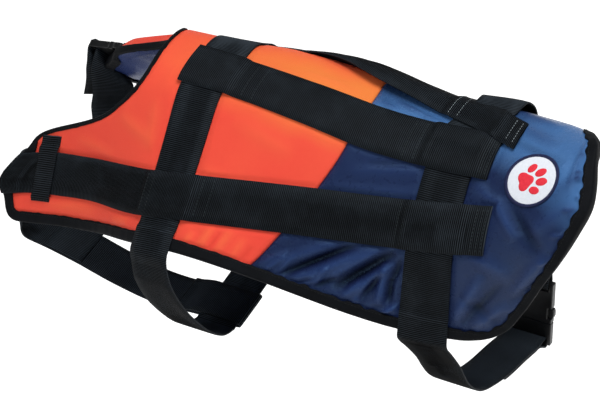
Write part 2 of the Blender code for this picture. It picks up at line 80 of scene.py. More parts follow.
def through(knots, values, at):  # smooth curve through values at knots
    slopes = np.gradient(values, knots, axis=0)
    at = np.clip(at, knots[0], knots[-1])
    slot = np.clip(np.searchsorted(knots, at) - 1, 0, len(knots) - 2)
    spread = (...,) + (None,) * (values.ndim - 1)
    gap = (knots[slot + 1] - knots[slot])[spread]
    part = (at - knots[slot])[spread] / gap
    rise = part * part * (3 - 2 * part)
    lead = part * (1 - part) ** 2 * gap * slopes[slot]
    trail = part ** 2 * (part - 1) * gap * slopes[slot + 1]
    return values[slot] * (1 - rise) + values[slot + 1] * rise + lead + trail


def follow(table, at, column=1):
    return through(table[:, 0], table[:, column], np.asarray(at, float))


def ease(part):
    part = np.clip(part, 0, 1)
    return part * part * (3 - 2 * part)


def within(value, low, lowFade, high, highFade):  # one between low and high, none outside them
    return ease((value - low) / lowFade) * ease((high - value) / highFade)


def unit(vectors):
    return vectors / np.linalg.norm(vectors, axis=-1, keepdims=True)


def skin(along, across):  # a point on the jacket's outer face
    along, across = np.broadcast_arrays(np.asarray(along, float), np.asarray(across, float))
    reach = np.abs(across)[..., None] * np.linspace(0, 1, 65)
    right = across > 0
    shoulder, flank, bendAt, bendOver = (
        np.where(right, follow(rightSide, along, k), follow(leftSide, along, k))[..., None]
        for k in range(1, 5))
    angle = np.radians(shoulder) * ease((reach - bendAt) / bendOver + 0.5)
    angle = angle + np.radians(flank) * ease((reach - jacket["flankAt"]) / jacket["flankOver"] + 0.5)
    middle = (angle[..., 1:] + angle[..., :-1]) / 2
    side = across * np.cos(middle).mean(-1)
    drop = np.abs(across) * np.sin(middle).mean(-1)
    return np.stack([along, side, follow(ridge, along) - drop], -1)


sag = {"near": 5.0, "far": 4.0}  # how far the tail's edge hangs below the plain form


def settle(along, across):
    edge = follow(tailEdge, np.abs(across) / 230)
    near = within(-across, 6, 30, 200, 60) * np.clip((along - edge + 30) / 30, 0, 1.2) ** 2
    far = ease((across + 3) / 30) * np.clip((along - 238) / 42, 0, 1.4) ** 1.6
    return sag["near"] * near + sag["far"] * far


def place(along, across, lift):  # a point on the settled face, moved out by lift
    along, across = np.broadcast_arrays(np.asarray(along, float), np.asarray(across, float))
    lift = np.asarray(lift, float) - settle(along, across)
    back = skin(along + 1, across) - skin(along - 1, across)
    over = skin(along, across + 1) - skin(along, across - 1)
    return skin(along, across) + unit(np.cross(back, over)) * lift[..., None]


def hem(along):
    return follow(hemCut, along)


class Wire:  # a node's output that takes part in sums
    def __init__(self, tree, socket=None):
        self.tree, self.socket = tree, socket

    def make(self, kind, settings=None, inputs=None, out=0):
        node = self.tree.nodes.new(kind)
        for name, value in (settings or {}).items():
            if name == "stops":
                ramp = node.color_ramp
                while len(ramp.elements) < len(value):
                    ramp.elements.new(0.5)
                for element, (spot, colour) in zip(ramp.elements, value):
                    element.position, element.color = spot, (*colour, 1)
            else:
                setattr(node, name, value)
        for name, value in (inputs or {}).items():
            if isinstance(value, Wire):
                self.tree.links.new(value.socket, node.inputs[name])
            else:
                node.inputs[name].default_value = value
        return Wire(self.tree, node.outputs[out])

    def sum(self, operation, first, second=0.0):
        return self.make("ShaderNodeMath", {"operation": operation}, {0: first, 1: second})

    def __add__(self, other):
        return self.sum("ADD", self, other)

    def __sub__(self, other):
        return self.sum("SUBTRACT", self, other)

    def __rsub__(self, other):
        return self.sum("SUBTRACT", other, self)

    def __mul__(self, other):
        return self.sum("MULTIPLY", self, other)

    def __pow__(self, other):
        return self.sum("POWER", self, other)

    __radd__, __rmul__ = __add__, __mul__

    def sine(self):
        return self.sum("SINE", self)

    def waved(self, pitch):  # 0 to 1 once in each pitch
        return (self * (2 * math.pi / pitch)).sine() * 0.5 + 0.5

    def clipped(self):
        return self.make("ShaderNodeClamp", None, {"Value": self})

    def mixed(self, low, high):  # this as the share of high over low, both colours
        low, high = (end if isinstance(end, Wire) else (*end, 1) for end in (low, high))
        return self.make("ShaderNodeMix", {"data_type": "RGBA"}, {"Factor": self, 6: low, 7: high}, 2)


def shader(name, colour, roughness, **more):  # underscores in more stand for spaces
    made = bpy.data.materials.new(name)
    made.use_nodes = True
    principled = made.node_tree.nodes["Principled BSDF"]
    principled.inputs["Base Color"].default_value = (*colour, 1)
    principled.inputs["Roughness"].default_value = roughness
    for socket, value in more.items():
        principled.inputs[socket.replace("_", " ")].default_value = value
    made.diffuse_color = (*colour, 1)
    return made, Wire(made.node_tree), principled.inputs


def feed(inputs, **links):
    for socket, value in links.items():
        value.tree.links.new(value.socket, inputs[socket.replace("_", " ")])


def relief(inputs, height):  # fine form from a height in metres
    bump = height.make("ShaderNodeBump", None, {"Height": height, "Strength": 1.0, "Distance": 1.0})
    feed(inputs, Normal=bump)


def uvParts(wire):  # length and width over the cloth, in metres
    uv = wire.make("ShaderNodeUVMap", {"uv_map": "UVMap"})
    split = wire.make("ShaderNodeSeparateXYZ", None, {"Vector": uv})
    return uv, split, Wire(wire.tree, split.socket.node.outputs[1])


def noise(wire, where, scale, detail=3.0, rough=0.55):
    return wire.make("ShaderNodeTexNoise", None,
                     {"Vector": where, "Scale": scale, "Detail": detail, "Roughness": rough})


# the last value widens the painted highlight along the ridge over the tail
nylon = {"weave": 0.0006, "weaveDepth": 0.00006, "wrinkle": 0.0009, "patchy": 1.6, "highlightTailSpread": 0.07}


def nylonLook(name, colour, lighter, roughness, top=None, folds=None, **more):
    made, wire, inputs = shader(name, colour, roughness, **more)
    uv, length, width = uvParts(wire)
    turn = 2 * math.pi / nylon["weave"]
    weave = (length * turn).sine() * (width * turn).sine()
    patches = noise(wire, uv, 9.0, 2.0)
    fine = noise(wire, uv, 160.0, 2.0)
    tone = ((patches - 0.5) * nylon["patchy"] + 0.5 + (fine - 0.5) * 0.35).clipped()
    shade = tone.mixed(colour, lighter)
    if top:  # painted highlight along the ridge, spreading over more of the tail
        spread = ((length - 0.19) * 8.0).clipped() * nylon["highlightTailSpread"] + top["reach"]
        high = (spread - (width * width + 0.000001) ** 0.5 + (patches - 0.5) * 0.04) * 24.0
        high = high.clipped() * ((length - top["start"]) * top["fade"]).clipped()
        shade = high.mixed(shade, top["colour"])
    if folds:  # painted shade in the troughs, painted highlight on the crests
        crest = wire.make("ShaderNodeAttribute", {"attribute_name": "crest"}, out=2)
        shade = (crest * -1.0).clipped().mixed(shade, folds["deep"])
        shade = crest.clipped().mixed(shade, folds["pale"])
    feed(inputs, Base_Color=shade, Roughness=(fine - 0.5) * 0.16 + (patches - 0.5) * 0.12 + roughness)
    soft = noise(wire, uv, 26.0, 3.0, 0.6)
    relief(inputs, soft * nylon["wrinkle"] + weave * nylon["weaveDepth"])
    return made


webbing = {"pitch": 2.1, "height": 0.28, "keeperPitch": 2.6, "keeperThick": 1.4, "warp": 0.0011}
tape = {"rib": 0.0011, "ribDepth": 0.0001, "fuzz": 0.0005}


def webbingLook(name, dark, light, pitch=webbing["pitch"]):
    made, wire, inputs = shader(name, dark, 0.62, Specular_IOR_Level=0.07)
    uv, length, width = uvParts(wire)
    rib = (length * (2 * math.pi / (pitch * mm)) + math.pi / 2).sine() * 0.5 + 0.5
    warp = width.waved(webbing["warp"])
    wear = noise(wire, uv, 30.0, 4.0, 0.65)
    tone = (rib * rib * rib * rib * 0.85 + warp * 0.06 * rib + (wear - 0.5) * 0.5).clipped()
    feed(inputs, Base_Color=tone.mixed(dark, light), Roughness=wear * 0.25 + 0.5)
    relief(inputs, warp * 0.00008)
    return made


def tapeLook(name, dark, light):  # grosgrain tape of the edge binding
    made, wire, inputs = shader(name, dark, 0.7, Specular_IOR_Level=0.07)
    uv, length, _ = uvParts(wire)
    rib = length.waved(tape["rib"])
    wear = noise(wire, uv, 45.0, 4.0, 0.7)
    tone = (rib * 0.35 + (wear - 0.5) * 0.9).clipped()
    feed(inputs, Base_Color=tone.mixed(dark, light), Roughness=wear * 0.3 + 0.5)
    relief(inputs, rib * tape["ribDepth"] + wear * tape["fuzz"])
    return made


def plasticLook(name, colour, scuffed):
    made, wire, inputs = shader(name, colour, 0.38, Specular_IOR_Level=0.3)
    spot = wire.make("ShaderNodeTexCoord", out=3)
    grain = noise(wire, spot, 900.0, 2.0)
    scuffs = noise(wire, spot, 60.0, 5.0, 0.7)
    feed(inputs, Roughness=scuffs * 0.28 + 0.24,
         Base_Color=(scuffs * 1.4 - 0.5).clipped().mixed(colour, scuffed))
    relief(inputs, grain * 0.00006)
    return made


def threadLook(name, colour, light):
    made, wire, inputs = shader(name, colour, 0.6, Specular_IOR_Level=0.15)
    grain = noise(wire, wire.make("ShaderNodeTexCoord", out=3), 400.0, 2.0)
    feed(inputs, Base_Color=grain.mixed(colour, light))
    return made


# The orange and navy nylon's first dictionary is a painted highlight colour along the ridge; their second
# holds painted shade for fold troughs and painted highlight for fold crests.
looks = {
    "orange": nylonLook("orangeNylon", (0.78, 0.062, 0.044), (0.83, 0.094, 0.052), 0.5,
                        {"colour": (0.77, 0.2, 0.046), "reach": 0.062, "start": -0.24, "fade": 5.0},
                        {"deep": (0.52, 0.028, 0.02), "pale": (0.86, 0.16, 0.06)},
                        Specular_IOR_Level=0.12, Specular_Tint=(1.0, 0.6, 0.3, 1)),
    "navy": nylonLook("navyNylon", (0.0065, 0.0105, 0.04), (0.01, 0.0185, 0.07), 0.29,
                      {"colour": (0.046, 0.125, 0.3), "reach": 0.045, "start": 0.0, "fade": 40.0},
                      {"deep": (0.0012, 0.0015, 0.006), "pale": (0.015, 0.032, 0.108)},
                      Specular_IOR_Level=0.36, Specular_Tint=(0.32, 0.6, 1.0, 1)),
    "lining": nylonLook("navyLining", (0.012, 0.02, 0.075), (0.026, 0.045, 0.15), 0.3,
                        Specular_IOR_Level=0.1, Specular_Tint=(0.3, 0.45, 1.0, 1)),
    "webbing": webbingLook("blackWebbing", (0.0004, 0.0007, 0.0011), (0.042, 0.054, 0.068)),
    "keeper": webbingLook("keeperWebbing", (0.0006, 0.0009, 0.0014), (0.034, 0.043, 0.054),
                          webbing["keeperPitch"]),
    "binding": tapeLook("blackBinding", (0.0022, 0.0026, 0.0035), (0.01, 0.012, 0.016)),
    "buckle": plasticLook("blackBuckle", (0.003, 0.0034, 0.004), (0.014, 0.015, 0.017)),
    "thread": threadLook("blackThread", (0.012, 0.016, 0.018), (0.04, 0.052, 0.057)),
    "tapeThread": threadLook("tapeThread", (0.002, 0.0026, 0.003), (0.012, 0.014, 0.016)),
    "paleThread": threadLook("greyThread", (0.18, 0.22, 0.24), (0.35, 0.4, 0.42)),
    "patch": threadLook("whiteTwill", (0.56, 0.6, 0.66), (0.72, 0.75, 0.8)),
    "border": threadLook("navyBorder", (0.006, 0.009, 0.035), (0.015, 0.02, 0.07)),
    "motif": threadLook("redMotif", (0.55, 0.015, 0.03), (0.75, 0.04, 0.06))}
print("looks made")


def meshFrom(shell, name):
    mesh = bpy.data.meshes.new(name)
    shell.to_mesh(mesh)
    shell.free()
    return mesh


def clothGrid(name, points, u, v, look, merge=False, crests=None, walls=None):
    # a grid whose corners are moved to points (rows, columns, 3) in mm, with u and v in mm
    rows, columns = points.shape[:2]
    shell = bmesh.new()
    bmesh.ops.create_grid(shell, x_segments=columns - 1, y_segments=rows - 1, size=1.0)
    mesh = meshFrom(shell, name)
    flat = np.empty(len(mesh.vertices) * 3, np.float32)
    mesh.vertices.foreach_get("co", flat)
    flat = flat.reshape(-1, 3)
    column = np.rint((flat[:, 0] + 1) / 2 * (columns - 1)).astype(int)
    row = np.rint((flat[:, 1] + 1) / 2 * (rows - 1)).astype(int)
    mesh.vertices.foreach_set("co", (points[row, column] * mm).astype(np.float32).ravel())
    corner = np.empty(len(mesh.loops), np.int32)
    mesh.loops.foreach_get("vertex_index", corner)
    uv = np.stack(np.broadcast_arrays(u, v), -1)[row, column][corner] * mm
    mesh.uv_layers.new(name="UVMap").data.foreach_set("uv", uv.astype(np.float32).ravel())
    if crests is not None:
        crest = mesh.attributes.new("crest", "FLOAT", "POINT")
        crest.data.foreach_set("value", crests[row, column].astype(np.float32))
    if merge:
        shell = bmesh.new()
        shell.from_mesh(mesh)
        bmesh.ops.remove_doubles(shell, verts=shell.verts[:], dist=1e-6)
        shell.to_mesh(mesh)
        shell.free()
    mesh.update()
    made = piece(name, mesh, look)
    if walls is not None:  # share of the wall's thickness at each point
        group = made.vertex_groups.new(name="wall")
        for index, share in enumerate(walls[row, column]):
            group.add([index], float(share), "REPLACE")
    return made


def piece(name, mesh, look):
    mesh.shade_smooth()
    mesh.materials.append(looks[look])
    made = bpy.data.objects.new(name, mesh)
    scene.collection.objects.link(made)
    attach(made, "root")
    return made


def thicken(made, thick, offset=0.0, inner=None, even=True):
    wall = made.modifiers.new("wall", "SOLIDIFY")
    wall.thickness = thick * mm
    wall.offset = offset
    wall.use_even_offset = even
    wall.vertex_group = "wall" if made.vertex_groups else ""
    if inner:
        made.data.materials.append(looks[inner])
        wall.material_offset = 1
    return made


def gridNormals(points):
    return unit(np.cross(np.gradient(points, axis=1), np.gradient(points, axis=0)))


def walked(points):  # the way gone at each point of a line
    return np.concatenate([[0], np.cumsum(np.linalg.norm(np.diff(points, axis=0), axis=1))])


def finerRows(rows, step):  # evenly spaced rows on a smooth curve through the given ones
    gone = walked(rows.mean(1))
    at = np.linspace(0, gone[-1], int(gone[-1] / step) + 1)
    return through(gone, rows, at), at


straps = {}  # name: rows, their normals, distance of each row


def ribbon(name, rows, look="webbing", pitch=webbing["pitch"], thick=jacket["web"]):
    rows, at = finerRows(rows, pitch / 4)
    normals = gridNormals(rows)
    width = np.linalg.norm(rows[:, -1] - rows[:, 0], axis=-1).mean()
    part = np.linspace(-1, 1, rows.shape[1])
    ribs = np.sin(2 * np.pi * at / pitch)[:, None] * np.where(np.abs(part) < 0.99, 1, 0.4)
    spot = rows + normals * (ribs * webbing["height"])[..., None]
    made = thicken(clothGrid(name, spot, at[:, None], part * width / 2, look), thick)
    straps[name] = rows, normals, at
    return made


binding = {"tape": 1.1, "gap": 0.8, "neckLeg": 3.4, "leg": 11.5, "tailLeg": 8.5, "inner": 1.1, "step": 3.0,
           "scallop": 0.8, "over": 1.9}  # over: how high it stands under a strap
foam = {"nip": 0.55, "nipTo": 150.0, "nipReach": 26.0,  # share of its depth lost at the neck, how far over
        "roll": 11.0, "tailIn": 30.0, "seamDip": 1.1, "crease": 1.25, "fullFold": 4.5}

# Straps that press the panels down: along, then across the handles' middles or the side strap's upper edge
leftHandle = np.array([(-185, 12), (-124, 12), (-26, 20), (50, 28), (124, 29), (200, 30)], float)
rightHandle = np.array([  # and half its width
    (-185, 92, 25), (-124, 90, 25), (-60, 80, 25), (-15, 67, 25), (16, 56, 25), (50, 47, 24.5),
    (80, 39, 22.5), (124, 27, 20.5), (165, 14, 19), (208, -3, 18)], float)
sideStrap = np.array([
    (-400, 156), (-368, 152), (-306, 150), (-192, 138), (-4, 108), (158, 84), (205, 79)], float)


def beside(value, low, high, fade):  # none between low and high, one at fade beyond them
    return ease(np.maximum(low - value, value - high) / fade)


press = {"fade": 7.0, "sideEnd": 204.0, "handleMiddle": 5.0, "handleHalf": 187.0}


def pressed(along, across):  # how free the cloth is of the straps on it
    half, fade = jacket["wideWeb"] / 2, press["fade"]
    side = np.abs(across)
    handle = np.where(across < 0, follow(leftHandle, along), follow(rightHandle, along))
    strap = follow(sideStrap, along)
    free = beside(side, strap, strap + 2 * half, fade)
    free = np.maximum(free, ease((along - press["sideEnd"]) / fade))
    pastHandle = ease((np.abs(along - press["handleMiddle"]) - press["handleHalf"]) / fade)
    free = free * np.maximum(beside(side, handle - half, handle + half, fade), pastHandle)
    for girth in (jacket["frontGirth"], jacket["rearGirth"]):
        free = free * ease((np.abs(along - girth) - half) / fade)
    return free


def crease(along, across, folds):  # sum of soft ridges and troughs
    lift = np.zeros_like(along)
    for a1, c1, a2, c2, width, height in folds:
        run, rise = a2 - a1, c2 - c1
        span = math.hypot(run, rise)
        part = ((along - a1) * run + (across - c1) * rise) / span ** 2
        away = ((along - a1) * rise - (across - c1) * run) / span
        body = np.sin(np.pi * np.clip(part, 0, 1)) ** 0.6
        lift = lift + foam["crease"] * height * body * np.exp(-(away / width) ** 2)
    return lift


# start along and across, end along and across, width, height
navyFolds = [
    (-10, -205, 70, -148, 3.8, -4.6), (52, -200, 112, -145, 4.8, -5), (28, -206, 54, -188, 3, -4),
    (14, -207, 30, -195, 2.4, -3), (79, -204, 103, -168, 3.8, -4.6), (110, -202, 110, -174, 3.2, -4),
    (110, -180, 121, -150, 3.4, -3.6), (-8, -188, 50, -152, 6, 2.6), (12, -204, 92, -146, 5.5, 4.6),
    (36, -200, 98, -144, 3.2, 2.6), (66, -206, 112, -156, 5, 4), (100, -206, 104, -158, 4.5, 4.4),
    (-30, -198, 0, -176, 3.4, 1.8), (-34, -176, 4, -152, 4, 1.6),
    (20, -105, 122, -84, 7, 1.6), (40, -80, 124, -58, 6, 1.4), (60, -66, 124, -50, 4, -1.2),
    (178, -62, 214, -80, 6, 2), (204, -72, 236, -108, 6, 3.8), (222, -78, 262, -118, 6, -2.4),
    (190, -128, 236, -150, 9, 2.2), (176, -210, 206, -150, 6.5, 3.6), (196, -214, 250, -170, 6, 3.4),
    (186, -212, 226, -156, 4, -2.2), (214, -206, 262, -150, 5, -2), (180, -176, 224, -206, 5, -1.6),
    (236, -172, 268, -120, 6, 2.6), (274, 24, 276, -60, 3, 1.5), (248, -100, 286, -66, 7, 2.2),
    (262, -60, 290, -30, 6, 1.6),
    (186, 20, 250, -10, 8, 1.8), (196, -4, 262, -30, 6, -1.2), (180, 40, 240, 20, 7, 2),
    (44, 8, 70, -6, 4, 1.8), (60, 12, 104, 0, 4, 2.4), (96, 2, 124, -8, 4, 2.2),
    (80, 4, 118, -6, 3, -1.6)]
orangeFolds = [
    (-112, -206, -104, -184, 3.5, 1.6), (-94, -202, -84, -172, 5, 1.8), (-84, -203, -76, -176, 3, -1.2),
    (-76, -202, -64, -170, 4.5, 1.6), (-58, -202, -48, -174, 4, 1.2), (-48, -203, -38, -180, 3, -1),
    (-118, -120, -60, -128, 7, 0.9), (-100, -60, -20, -80, 9, 0.8), (-196, -60, -190, -120, 7, 0.9),
    (-240, -90, -186, -110, 8, 1), (-300, -130, -240, -138, 7, 0.9), (-230, -206, -192, -196, 5, 1.2),
    (-340, -214, -260, -208, 6, 1), (-110, 12, -40, 4, 6, 1), (-60, 18, 20, 10, 6, 1)]


def farSide(folds, shift):  # like folds on the other side, a little off and weaker
    return [(a1 + shift, -c1, a2 + shift * 0.6, -c2, width * 1.1, height * 0.8)
            for a1, c1, a2, c2, width, height in folds if abs(c1) > 45]


for a in (-24, -9, 3, 18, 30, 47, 59, 74, 88, 101, 113):  # gathers along the hem
    navyFolds.append((a, -hem(a) + 8, a + 19 + 5 * math.sin(a), -hem(a) + 30 + 9 * math.sin(a * 1.3), 3.0,
                      2.6 + 1.8 * math.sin(a * 1.7)))
for c in (14, 33, 39, 58, 71, 76, 97, 121, 126, 143, 165, 186):  # and across the tail
    last = follow(tailEdge, c / 230)
    navyFolds.append((last - 7, -c, last - 17 - 5 * math.sin(c * 1.7), -c - 3, 2.4, 1.5 + 1.5 * math.sin(c)))
navyFolds += farSide(navyFolds, 6.0)
orangeFolds += farSide(orangeFolds, -5.0)


def edgeFree(along, share, fromEnd):  # how far the cloth is from the bound edge
    return np.minimum(fromEnd, (1 - np.abs(share)) * hem(along))


def atNeck(along, share):
    return (along < -200) & (np.abs(share) < 0.6)


def boundLeg(along, share):  # width of the binding's upper leg
    leg = np.where(along > 200, binding["tailLeg"], binding["leg"])
    return np.where(atNeck(along, share), binding["neckLeg"], leg)


def farTail(shares):  # the tail edge, drawn in a little beyond the ridge
    return follow(tailEdge, np.abs(shares)) - foam["tailIn"] * within(shares, -0.02, 0.2, 0.95, 0.4)


def pinch(across, reach):  # the foam's thickness, nipped in at the neck's bound edge
    nip = foam["nip"] * ease((foam["nipTo"] - np.abs(across)) / 25)
    return 1 - nip * (1 - ease(reach / foam["nipReach"]))


def panelShape(first, last, rows, columns):
    shares = np.linspace(-1, 1, columns)[:, None]
    start = follow(first, np.abs(shares))
    stop = farTail(shares) if last is tailEdge else follow(last, np.abs(shares))
    part = np.linspace(0, 1, rows)
    along = start * (1 - part) + stop * part
    return along, shares + 0 * along, start + 0 * along, stop + 0 * along


def panelPiece(name, look, first, last, rows, columns, folds, frontBound, puff, inner):
    along, share, start, stop = panelShape(first, last, rows, columns)
    across = share * hem(along)
    fromEnd, seamGap = along - start, stop - along
    if not frontBound:
        fromEnd, seamGap = seamGap, fromEnd
    reach = edgeFree(along, share, fromEnd)
    free = pressed(along, across) * ease((reach - boundLeg(along, share) + 1.5) / 6)
    free = free * ease(seamGap / 9)
    roll = within(across, 34, 40, 158, 30) * ease((-212 - along) / 34)
    roll = roll * within(reach, 1, 17, 120, 70)  # foam rolls over the far neck edge
    fold = free * crease(along, across, folds)
    lift = free * puff + fold - foam["seamDip"] * (1 - ease(seamGap / 3.5)) + foam["roll"] * roll
    # the crest attribute carries the fold height, which the nylon looks turn into painted shade in troughs
    # and painted highlight on crests
    made = clothGrid(name, place(along, across, lift), along, across, look,
                     crests=np.clip(fold / foam["fullFold"], -1, 1),
                     walls=pinch(across, fromEnd) if frontBound else None)
    return thicken(made, jacket["wall"], -1.0, inner)


frontSeam, rearSeam = colourSeam - (0, 0.02), colourSeam + (0, 0.02)
panelFront = panelPiece("panelFront", "orange", frontEdge, frontSeam, 110, 270, orangeFolds, True, 1.3, None)
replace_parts(panelFront, "panel_front")
panelRear = panelPiece("panelRear", "navy", rearSeam, tailEdge, 130, 230, navyFolds, False, 1.0, "lining")
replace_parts(panelRear, "panel_rear")
print("panels made")


def liningPiece():
    along, share, start, stop = panelShape(frontEdge, frontSeam, 90, 180)
    across = share * hem(along)
    reach = edgeFree(along, share, along - start)
    free = ease((reach - 12) / 14) * ease((stop - along) / 12)
    billow = 1.4 + 1.1 * np.sin(along / 17 + across / 31) * np.sin(across / 23 - along / 40)
    billow = billow + 0.7 * np.sin(along / 7.3 + np.sin(across / 15) * 2)
    lift = -jacket["wall"] * pinch(across, along - start) - jacket["seam"] - free * billow
    made = clothGrid("liningFront", place(along, across, lift), along, across, "lining")
    thicken(made, jacket["lining"], -1.0)
    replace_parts(made, "lining_front")


liningPiece()


def edgeLoop():  # the jacket's edge once round, as along and across
    shares = np.linspace(-1, 1, 161)
    side = np.linspace(0, 1, 60)[1:-1]
    tail = np.stack([farTail(shares), shares], -1)[::-1]
    front = np.stack([follow(frontEdge, np.abs(shares)), shares], -1)
    near = front[0, 0] * (1 - side) + tail[-1, 0] * side
    loop = np.concatenate([front, np.stack([near, near * 0 + 1], -1), tail,
                           np.stack([near[::-1], near * 0 - 1], -1)])
    loop[:, 1] *= hem(loop[:, 0])
    closed = np.concatenate([loop, loop[:1]])
    gone = walked(closed)
    at = np.linspace(0, gone[-1], int(gone[-1] / binding["step"]) + 1)
    return np.stack([np.interp(at, gone, closed[:, k]) for k in (0, 1)], -1)[:-1], at


def bindingPiece():
    edge, at = edgeLoop()
    smooth = edge.copy()
    for _ in range(8):
        smooth = (np.roll(smooth, 1, 0) + smooth * 2 + np.roll(smooth, -1, 0)) / 4
    ahead = unit(np.roll(smooth, -1, 0) - smooth)
    turn = unit(ahead + np.roll(ahead, 1, 0))
    outward = np.stack([-turn[:, 1], turn[:, 0]], -1)
    share = np.abs(edge[:, 1]) / hem(edge[:, 0])
    leg = boundLeg(edge[:, 0], share)
    for _ in range(6):
        leg = (np.roll(leg, 1) + leg + np.roll(leg, -1)) / 3
    top = binding["gap"] + binding["tape"] / 2
    nipped = np.where(atNeck(edge[:, 0], share), pinch(edge[:, 1], 0), 1)
    deep = -jacket["wall"] * nipped - jacket["seam"] - jacket["lining"]
    deep = deep - binding["inner"] - binding["tape"] / 2
    middle, half = (top + deep) / 2, (top - deep) / 2
    legs = [-1, -0.8, -0.6, -0.4, -0.2]  # inward from the edge, in shares of the leg
    section = [(inward, 0.0, top) for inward in legs]
    section += [(0.0, top * math.cos(t), middle + half * math.sin(t))
                for t in np.radians([90, 62, 36, 12, -12, -36, -62, -90])]
    section += [(inward, 0.0, deep) for inward in legs[::-1]]
    phase = at[:-1]
    pucker = 0.16 * np.sin(phase / 1.9) + 0.2 * np.sin(phase / 3.1 + 1) + 0.2 * np.sin(phase / 7.7)
    navy = ease((edge[:, 0] + 20) / 40)
    waves = np.sin(phase / 2.3 + np.sin(phase / 9)) + np.sin(phase / 4.1)
    scallop = pucker + navy * binding["scallop"] * waves
    rings = []
    for inward, out, lift in section:
        spot = smooth + outward * (inward * leg + out + (scallop if inward == -1 else 0))[:, None]
        wave = pucker * (0.9 if -1 < inward < 0 else 0.3)
        rings.append(place(spot[:, 0], spot[:, 1], lift + np.where(lift > middle, wave, -wave)))
    rings = np.stack(rings, 1)
    rings = np.concatenate([rings, rings[:1]])
    around = walked(rings[0])
    made = clothGrid("edgeBinding", rings, at[:, None], around, "binding", merge=True)
    thicken(made, binding["tape"], even=False)
    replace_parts(made, "edge_binding")
    return smooth, outward, leg, top


bindingRun = bindingPiece()
print("binding made")


def bump(along, centre, half, slope=10.0):  # one within half of the centre
    return ease((half + slope - np.abs(along - centre)) / slope)


def overGirths(along, across):  # lift of what crosses the girth straps
    step = jacket["web"] + jacket["clear"]
    girths = [bump(along, jacket[name], jacket["wideWeb"] / 2 + 3) for name in ("frontGirth", "rearGirth")]
    return jacket["clear"] + step * np.maximum(*girths)


def laidRows(first, last, one, two, lift):  # webbing from edge one to edge two, across
    along = np.linspace(first, last, int(abs(last - first) / 3) + 1)[:, None]
    part = np.linspace(0, 1, 7)
    across = one(along) * (1 - part) + two(along) * part
    along = along + 0 * across
    return place(along, across, lift(along, across) + jacket["web"] / 2)


grip = {"from": -75.0, "to": 124.0, "rise": 9.0, "endRise": 2.2}


def grab(along, across):  # lift of the raised handle
    part = np.clip((along - grip["from"]) / (grip["to"] - grip["from"]), 0, 1)
    lift = overGirths(along, across) + grip["rise"] * np.sin(np.pi * part)
    return lift + grip["endRise"] * ease((along - 168) / 14)


def declareStrap(made, node):
    rows, _, at = straps[made.name]
    width = float(np.linalg.norm(np.diff(rows, axis=1), axis=2).sum(1).mean()) * mm
    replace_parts(made, node)


handleEnds = {"left": (-177, 190), "right": (-180, 206)}  # along


def handles():
    half = jacket["wideWeb"] / 2
    rows = laidRows(*handleEnds["left"], lambda a: half - follow(leftHandle, a),
                    lambda a: -half - follow(leftHandle, a), overGirths)
    declareStrap(ribbon("handleLeft", rows), "handle_left")
    rows = laidRows(*handleEnds["right"], lambda a: follow(rightHandle, a) + follow(rightHandle, a, 2),
                    lambda a: follow(rightHandle, a) - follow(rightHandle, a, 2), grab)
    declareStrap(ribbon("handleRight", rows), "handle_right")


handles()


def webbingRows(path, sides):
    spread = np.linspace(-1, 1, 7)[:, None] * jacket["wideWeb"] / 2
    return path[:, None] + unit(sides)[:, None] * spread


buckle = {"bar": 4.4, "loop": 6.2, "length": 84.0, "width": 61.0}


def turnedEnd(path, sides, bar, out, back, radius=buckle["loop"], hold=0.0, gap=0.9):
    # carry webbing round a bar that its path arrives at on the side out, and back along itself
    path, sides, bar = np.asarray(path, float), unit(np.asarray(sides, float)), np.asarray(bar, float)
    toBar = unit(bar - path[-1])
    out = unit(out - toBar * np.dot(out, toBar))
    sine = radius / np.linalg.norm(bar - path[-1])
    cosine = math.sqrt(1 - sine * sine)
    ahead, out = toBar * cosine + out * sine, out * cosine - toBar * sine
    last = sides[-1:]
    main = np.concatenate([path, [bar + out * radius]])
    sides = np.concatenate([sides, last])
    turns = np.radians([30, 60, 90, 120, 150, 180])[:, None]
    turn = bar + radius * (out * np.cos(turns) + ahead * np.sin(turns))
    sense = np.sign(np.dot(np.cross(last[0], ahead), out))
    gone = walked(main[::-1])
    rows, acrosses = [], []
    for step in np.linspace(2, back, max(4, round(back / 9))):
        spot, side, before, after = (
            np.array([np.interp(at, gone, data[::-1, k]) for k in range(3)])
            for at, data in ((step, main), (step, sides), (step + 5, main), (max(step - 5, 0), main)))
        apart = 2 * radius + (jacket["web"] + gap - 2 * radius) * ease((step - hold) / 22)
        rows.append(spot - sense * unit(np.cross(side, unit(after - before))) * apart)
        acrosses.append(side)
    return (np.concatenate([main, turn, rows]),
            np.concatenate([sides, np.repeat(last, len(turn), 0), acrosses]))


def smoothPath(table, steps):
    table = np.asarray(table, float)
    ends = np.concatenate([[2 * table[0] - table[1]], table, [2 * table[-1] - table[-2]]])
    rows = []
    for a, b, c, d in zip(ends, ends[1:], ends[2:], ends[3:]):
        for t in np.linspace(0, 1, steps, endpoint=False):
            rows.append(b + 0.5 * ((c - a) * t + (2 * a - 5 * b + 4 * c - d) * t ** 2
                                   + (3 * b - a - 3 * c + d) * t ** 3))
    return np.array(rows + [table[-1]])


def overBinding(along, edge):  # lift of what crosses the binding
    return binding["over"] * ease((30 - (along - edge)) / 8)


def sideRun(side, alongs):
    neck = sideEnds["neck"]
    part = np.linspace(0, 1, 7)
    rows = []
    for along in alongs:
        across = follow(sideStrap, along) + jacket["wideWeb"] * part
        edge = follow(frontEdge, across / hem(along))
        nearness = max(neck - along, 0) / (neck - alongs[0])
        spot = along + (edge - alongs[0]) * nearness * (side < 0)
        girth = overGirths(spot, across) - jacket["clear"]
        lift = jacket["clear"] + np.maximum(girth, overBinding(spot, edge))
        rows.append(place(spot, side * across, lift + jacket["web"] / 2))
    return np.stack(rows)


